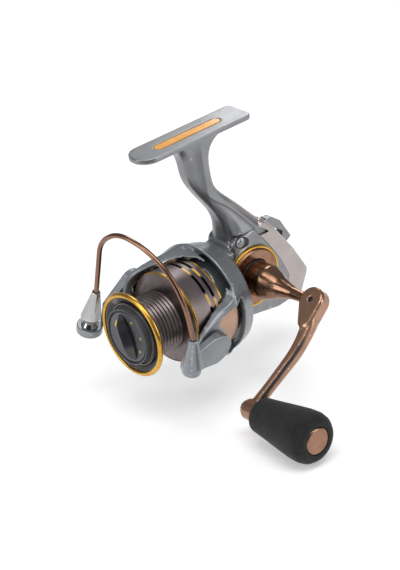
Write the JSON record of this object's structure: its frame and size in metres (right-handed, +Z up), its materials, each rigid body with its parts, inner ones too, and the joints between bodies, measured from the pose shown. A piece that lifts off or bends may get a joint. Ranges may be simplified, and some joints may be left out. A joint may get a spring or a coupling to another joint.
{
  "type": "spinning fishing reel",
  "caption": "Open-face spinning reel with a rod foot and stem, gear case, folding crank with a foam grip, rotor with bail and line roller, and a front-drag spool.",
  "frame": {"origin": "centre of the foot's flat top face, which rests on the rod's reel seat", "axes": "+X towards the spool and the rod tip, +Y towards the handle, +Z up to the rod"},
  "size_m": [0.1067, 0.1345, 0.1269],
  "materials": {
    "body_paint": "satin gunmetal grey",
    "guard_paint": "satin warm light grey",
    "rotor_paint": "satin bluish grey",
    "spool_taupe": "anodised taupe",
    "gold": "bright gold anodised",
    "bronze": "bronze satin",
    "wire_bronze": "bronze plated",
    "chrome": "polished",
    "steel": "machined",
    "zinc": "machined alloy",
    "brass": "machined",
    "grip_foam": "matt foam",
    "amber": "glossy amber",
    "knob_dark": "satin dark grey",
    "resin": "moulded resin",
    "felt": "oiled felt"
  },
  "bodies": {
    "frame": {"body_frame": "body_paint", "foot_inlay": "amber", "side_cover": "body_paint", "side_cover_screws": "chrome", "rear_guard": "guard_paint", "side_trim_ring": "bronze", "side_trim_rim": "gold", "lever_pin": "steel", "shaft_seal_ring": "resin", "handle_side_bearing": "steel", "far_side_bearing": "steel", "pinion_rear_bearing": "steel", "pinion_front_bearing": "steel", "clutch_outer_ring": "steel", "clutch_rollers": "steel", "clutch_cover_plate": "resin", "clutch_plate_screws": "steel", "slider_guide_rail": "steel", "bail_trip_ramp": "resin"},
    "crank": {"drive_gear": "zinc", "handle_rod": "steel", "handle_screw_cap": "bronze", "handle_collar": "bronze", "fold_pin": "steel"},
    "arm": {"handle_arm": "bronze", "knob_spindle": "steel"},
    "knob": {"grip": "grip_foam", "grip_core": "resin", "grip_cap": "bronze"},
    "rotor": {"rotor": "rotor_paint", "pinion": "brass", "clutch_inner_ring": "steel", "rotor_nut": "steel", "arm_panels": "bronze", "balance_weight": "zinc", "bail_pivot_screws": "chrome"},
    "bail": {"bail_wire": "wire_bronze", "near_bail_holder": "rotor_paint", "far_bail_lever": "rotor_paint", "roller_cone": "chrome", "roller_pin": "steel"},
    "roller": {"line_roller": "chrome"},
    "oscillator": {"main_shaft": "steel", "slider": "zinc"},
    "oscillation_gear": {"oscillation_gear": "zinc"},
    "spool": {"spool": "spool_taupe", "spool_lip": "gold", "skirt_rear_ring": "gold", "drag_felt_washers": "felt", "drag_metal_washers": "steel", "drag_retaining_ring": "steel"},
    "drag_knob": {"drag_knob": "knob_dark", "drag_knob_nut": "brass", "drag_spring": "steel"},
    "lever": {"anti_reverse_lever": "body_paint"}
  },
  "joints": [
    {"name": "handle_spin", "type": "hinge", "parent": "frame", "child": "crank", "pos_m": [-0.0209, 0, -0.0772], "axis": [0, 1, 0], "continuous": true},
    {"name": "handle_fold", "type": "hinge", "parent": "crank", "child": "arm", "pos_m": [-0.0209, 0.0514, -0.0772], "axis": [0.6691, 0, 0.7431], "range_deg": [0, 90]},
    {"name": "knob_spin", "type": "hinge", "parent": "arm", "child": "knob", "pos_m": [0.02072, 0.075, -0.11467], "axis": [0, 1, 0], "continuous": true},
    {"name": "rotor_spin", "type": "hinge", "parent": "frame", "child": "rotor", "pos_m": [0, 0, -0.0832], "axis": [1, 0, 0], "continuous": true},
    {"name": "bail_flip", "type": "hinge", "parent": "rotor", "child": "bail", "pos_m": [0.0197, 0, -0.0832], "axis": [0, 0.9563, -0.2924], "range_deg": [0, 95]},
    {"name": "line_roller_spin", "type": "hinge", "parent": "bail", "child": "roller", "pos_m": [0.042, -0.02888, -0.07437], "axis": [0, 0.2924, 0.9563], "continuous": true},
    {"name": "spool_oscillation", "type": "slide", "parent": "frame", "child": "oscillator", "axis": [1, 0, 0], "range_m": [0, 0.014]},
    {"name": "oscillation_gear_spin", "type": "hinge", "parent": "frame", "child": "oscillation_gear", "pos_m": [-0.03546, 0, -0.0832], "axis": [0, 1, 0], "continuous": true},
    {"name": "drag_slip", "type": "hinge", "parent": "oscillator", "child": "spool", "pos_m": [0, 0, -0.0832], "axis": [1, 0, 0], "continuous": true},
    {"name": "drag_knob_turn", "type": "hinge", "parent": "oscillator", "child": "drag_knob", "pos_m": [0.044, 0, -0.0832], "axis": [1, 0, 0], "range_deg": [-180, 180]},
    {"name": "anti_reverse_lever_tilt", "type": "hinge", "parent": "frame", "child": "lever", "pos_m": [-0.03702, 0, -0.06047], "axis": [0, 1, 0], "range_deg": [0, 10]}
  ],
  "couplings": [
    {"joint": "rotor_spin", "follows": "handle_spin", "ratio": 5.1429},
    {"joint": "oscillation_gear_spin", "follows": "handle_spin", "ratio": -0.66667}
  ]
}
